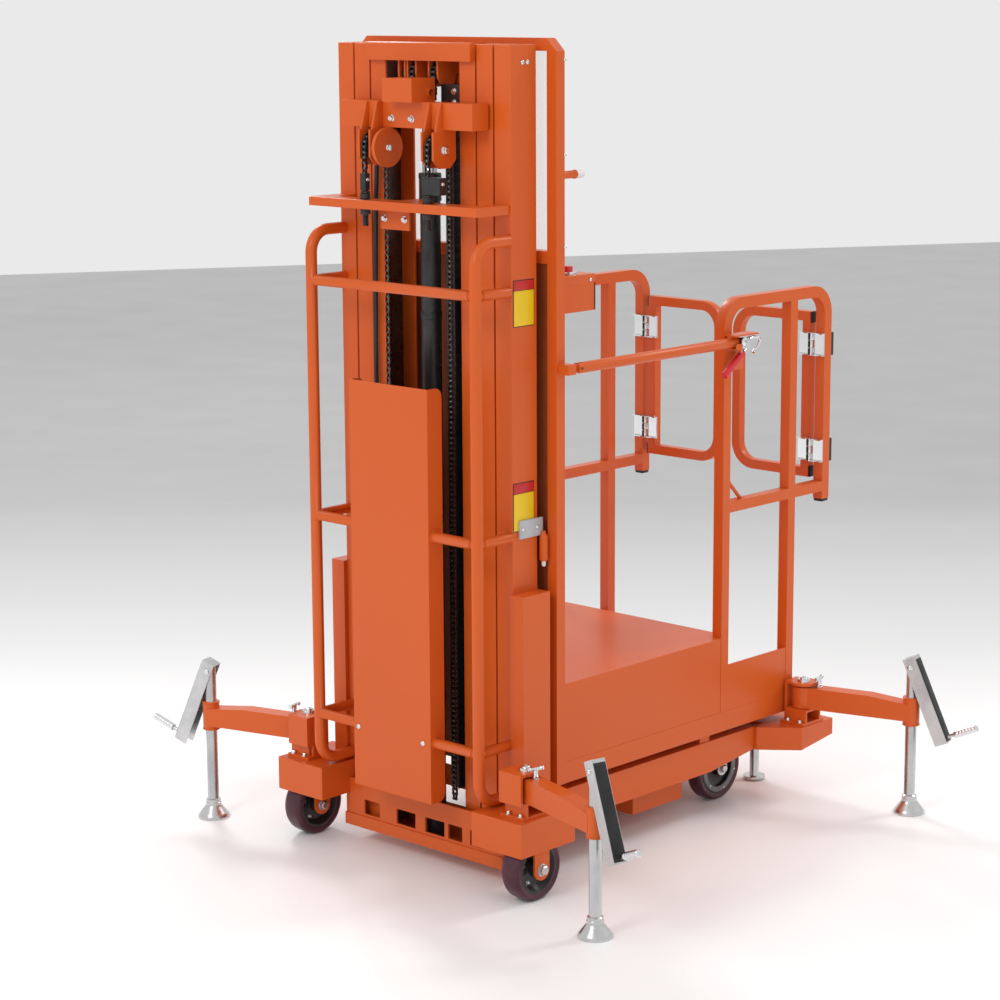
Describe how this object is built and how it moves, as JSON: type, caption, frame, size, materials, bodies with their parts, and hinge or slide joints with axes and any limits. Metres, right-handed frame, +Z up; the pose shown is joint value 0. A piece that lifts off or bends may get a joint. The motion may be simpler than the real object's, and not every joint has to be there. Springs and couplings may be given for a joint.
{
  "type": "order picker truck",
  "caption": "Push-along order picker truck: wheeled base with outrigger jacks, telescopic mast, goods deck and a railed operator platform with gates.",
  "frame": {"origin": "on the floor under the middle of the machine's overall box", "axes": "+X from the mast at the rear to the gates at the front, +Y to the left, +Z up"},
  "size_m": [1.4258, 1.7092, 2.06],
  "materials": {
    "orange_paint": "gloss",
    "black_steel": "satin",
    "black_plastic": "matte",
    "bright_steel": "satin",
    "chrome": "polished",
    "clear_sheet": "clear",
    "tread": "satin"
  },
  "bodies": {
    "chassis": {"side_beams": "orange_paint", "front_block": "orange_paint", "rear_blocks": "orange_paint", "cross_members": "orange_paint", "battery_case": "orange_paint", "outer_mast": "orange_paint", "mast_floor": "orange_paint", "cross_plate": "orange_paint", "mast_foot_boxes": "orange_paint", "anchor_plate": "orange_paint", "chain_anchors": "black_steel", "rear_guard": "orange_paint", "cover_panel": "orange_paint", "lift_cylinder": "black_steel", "outrigger_brackets": "orange_paint", "rear_wheel_forks": "orange_paint", "front_feet": "bright_steel"},
    "middle_mast": {"middle_columns": "orange_paint", "middle_beam": "orange_paint", "lift_sheaves": "black_steel", "lift_chains": "black_steel", "lift_rod": "chrome"},
    "inner_mast": {"inner_columns": "orange_paint", "inner_ties": "orange_paint", "head_sheaves": "black_steel", "head_chains": "black_steel", "cable_carrier": "black_plastic"},
    "platform": {"platform_base": "orange_paint", "goods_deck": "orange_paint", "goalpost": "orange_paint", "back_sheet": "orange_paint", "mast_shield": "clear_sheet", "carriage": "orange_paint", "control_box": "orange_paint", "gate_hinges": "bright_steel", "bar_latches": "black_plastic", "guard_right": "orange_paint", "guard_left": "orange_paint"},
    "drop_bar_right": {"drop_bar_right": "orange_paint"},
    "gate_right": {"gate_right": "orange_paint"},
    "drop_bar_left": {"drop_bar_left": "orange_paint"},
    "gate_left": {"gate_left": "orange_paint"},
    "arm_rear_right": {"arm_rear_right": "orange_paint"},
    "jack_rear_right": {"jack_leg_rear_right": "bright_steel", "jack_crank_rear_right": "bright_steel"},
    "arm_rear_left": {"arm_rear_left": "orange_paint"},
    "jack_rear_left": {"jack_leg_rear_left": "bright_steel", "jack_crank_rear_left": "bright_steel"},
    "arm_front_right": {"arm_front_right": "orange_paint"},
    "jack_front_right": {"jack_leg_front_right": "bright_steel", "jack_crank_front_right": "bright_steel"},
    "arm_front_left": {"arm_front_left": "orange_paint"},
    "jack_front_left": {"jack_leg_front_left": "bright_steel", "jack_crank_front_left": "bright_steel"},
    "caster_right": {"caster_fork_right": "bright_steel"},
    "wheel_front_right": {"wheel_front_right": "tread"},
    "wheel_rear_right": {"wheel_rear_right": "tread"},
    "caster_left": {"caster_fork_left": "bright_steel"},
    "wheel_front_left": {"wheel_front_left": "tread"},
    "wheel_rear_left": {"wheel_rear_left": "tread"}
  },
  "joints": [
    {"name": "mast_lift", "type": "slide", "parent": "chassis", "child": "middle_mast", "axis": [0, 0, 1], "range_m": [0, 1.4]},
    {"name": "inner_lift", "type": "slide", "parent": "middle_mast", "child": "inner_mast", "axis": [0, 0, 1], "range_m": [0, 1.4]},
    {"name": "platform_lift", "type": "slide", "parent": "inner_mast", "child": "platform", "axis": [0, 0, 1], "range_m": [0, 1.4]},
    {"name": "drop_bar_right_lift", "type": "hinge", "parent": "platform", "child": "drop_bar_right", "pos_m": [-0.3565, -0.3525, 1.276], "axis": [0, -1, 0], "range_deg": [0, 85]},
    {"name": "gate_right_swing", "type": "hinge", "parent": "platform", "child": "gate_right", "pos_m": [0.6585, -0.292, 0.936], "axis": [0, 0, 1], "range_deg": [0, 90], "stiffness_Nm_per_rad": 2, "springref_deg": -11.46},
    {"name": "drop_bar_left_lift", "type": "hinge", "parent": "platform", "child": "drop_bar_left", "pos_m": [-0.3565, 0.3525, 1.276], "axis": [0, -1, 0], "range_deg": [0, 85]},
    {"name": "gate_left_swing", "type": "hinge", "parent": "platform", "child": "gate_left", "pos_m": [0.6585, 0.292, 0.936], "axis": [0, 0, -1], "range_deg": [0, 90], "stiffness_Nm_per_rad": 2, "springref_deg": -11.46},
    {"name": "arm_rear_right_swing", "type": "hinge", "parent": "chassis", "child": "arm_rear_right", "pos_m": [-0.5815, -0.384, 0.256], "axis": [0, 0, 1], "range_deg": [0, 105.58]},
    {"name": "jack_rear_right_travel", "type": "slide", "parent": "arm_rear_right", "child": "jack_rear_right", "axis": [0, 0, 1], "range_m": [0, 0.12]},
    {"name": "arm_rear_left_swing", "type": "hinge", "parent": "chassis", "child": "arm_rear_left", "pos_m": [-0.5815, 0.384, 0.256], "axis": [0, 0, -1], "range_deg": [0, 105.58]},
    {"name": "jack_rear_left_travel", "type": "slide", "parent": "arm_rear_left", "child": "jack_rear_left", "axis": [0, 0, 1], "range_m": [0, 0.12]},
    {"name": "arm_front_right_swing", "type": "hinge", "parent": "chassis", "child": "arm_front_right", "pos_m": [0.5305, -0.384, 0.256], "axis": [0, 0, -1], "range_deg": [0, 105.58]},
    {"name": "jack_front_right_travel", "type": "slide", "parent": "arm_front_right", "child": "jack_front_right", "axis": [0, 0, 1], "range_m": [0, 0.12]},
    {"name": "arm_front_left_swing", "type": "hinge", "parent": "chassis", "child": "arm_front_left", "pos_m": [0.5305, 0.384, 0.256], "axis": [0, 0, 1], "range_deg": [0, 105.58]},
    {"name": "jack_front_left_travel", "type": "slide", "parent": "arm_front_left", "child": "jack_front_left", "axis": [0, 0, 1], "range_m": [0, 0.12]},
    {"name": "caster_right_swivel", "type": "hinge", "parent": "chassis", "child": "caster_right", "pos_m": [0.3425, -0.208, 0.18], "axis": [0, 0, 1], "continuous": true},
    {"name": "wheel_front_right_spin", "type": "hinge", "parent": "caster_right", "child": "wheel_front_right", "pos_m": [0.3625, -0.208, 0.09], "axis": [0, 1, 0], "continuous": true},
    {"name": "wheel_rear_right_spin", "type": "hinge", "parent": "chassis", "child": "wheel_rear_right", "pos_m": [-0.5685, -0.388, 0.08], "axis": [0, 1, 0], "continuous": true},
    {"name": "caster_left_swivel", "type": "hinge", "parent": "chassis", "child": "caster_left", "pos_m": [0.3425, 0.208, 0.18], "axis": [0, 0, 1], "continuous": true},
    {"name": "wheel_front_left_spin", "type": "hinge", "parent": "caster_left", "child": "wheel_front_left", "pos_m": [0.3625, 0.208, 0.09], "axis": [0, 1, 0], "continuous": true},
    {"name": "wheel_rear_left_spin", "type": "hinge", "parent": "chassis", "child": "wheel_rear_left", "pos_m": [-0.5685, 0.388, 0.08], "axis": [0, 1, 0], "continuous": true}
  ],
  "couplings": [
    {"joint": "inner_lift", "follows": "mast_lift", "ratio": 1},
    {"joint": "platform_lift", "follows": "mast_lift", "ratio": 1}
  ]
}
